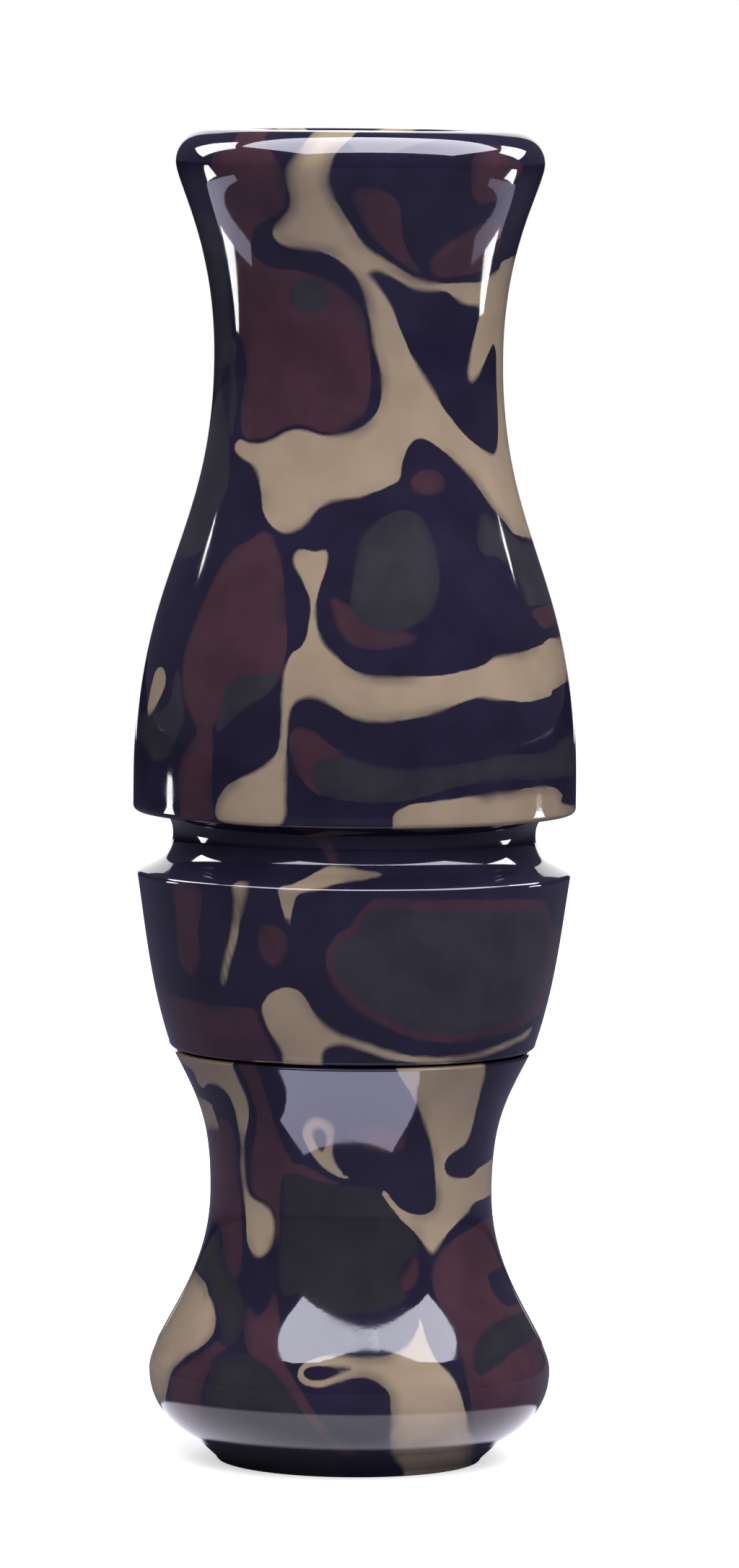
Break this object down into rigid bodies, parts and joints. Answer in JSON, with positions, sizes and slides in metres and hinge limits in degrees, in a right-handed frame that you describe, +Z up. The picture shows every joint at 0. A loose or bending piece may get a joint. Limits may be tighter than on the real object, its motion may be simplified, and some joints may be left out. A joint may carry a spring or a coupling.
{
  "type": "duck call",
  "caption": "Turned acrylic duck call: flared mouthpiece barrel with a lanyard groove, pulled onto a bell-ended insert that holds the tone board, reeds, wedge cork and seal rings.",
  "frame": {"origin": "middle of the foot that the call stands on, at the bottom of the bell", "axes": "+Z up the bore to the mouthpiece, +X to the right in the picture, -Y towards the camera and the reed side of the tone board"},
  "size_m": [0.036, 0.036, 0.1084],
  "materials": {
    "barrel_acrylic": "polished cast acrylic in a tan, brown, olive and black camouflage",
    "insert_acrylic": "polished cast acrylic in a tan, brown, olive and black camouflage",
    "reed_film": "frosted clear polyester film",
    "cork": "natural fine-grained cork",
    "ring_rubber": "black nitrile rubber"
  },
  "bodies": {
    "insert": {"insert": "insert_acrylic"},
    "seal_rings": {"lower_seal_ring": "ring_rubber", "upper_seal_ring": "ring_rubber"},
    "barrel": {"barrel": "barrel_acrylic"},
    "lower_reed": {"lower_reed": "reed_film"},
    "upper_reed": {"upper_reed": "reed_film"},
    "wedge_cork": {"wedge_cork": "cork"}
  },
  "joints": [
    {"name": "barrel_twist", "type": "hinge", "parent": "insert", "child": "seal_rings", "pos_m": [0, 0, 0.0399], "axis": [0, 0, 1], "continuous": true},
    {"name": "barrel_pull", "type": "slide", "parent": "seal_rings", "child": "barrel", "axis": [0, 0, 1], "range_m": [0, 0.07]},
    {"name": "lower_reed_flex", "type": "hinge", "parent": "insert", "child": "lower_reed", "pos_m": [0, -0.0001, 0.0469], "axis": [-1, 0, 0], "range_deg": [0, 1.8], "stiffness_Nm_per_rad": 0.011},
    {"name": "upper_reed_flex", "type": "hinge", "parent": "insert", "child": "upper_reed", "pos_m": [0, -0.0001, 0.0469], "axis": [-1, 0, 0], "range_deg": [0, 1.8], "stiffness_Nm_per_rad": 0.011},
    {"name": "cork_pull", "type": "slide", "parent": "insert", "child": "wedge_cork", "axis": [0, 0, 1], "range_m": [0, 0.01]}
  ],
  "couplings": [
    {"joint": "upper_reed_flex", "follows": "lower_reed_flex", "ratio": 1}
  ]
}
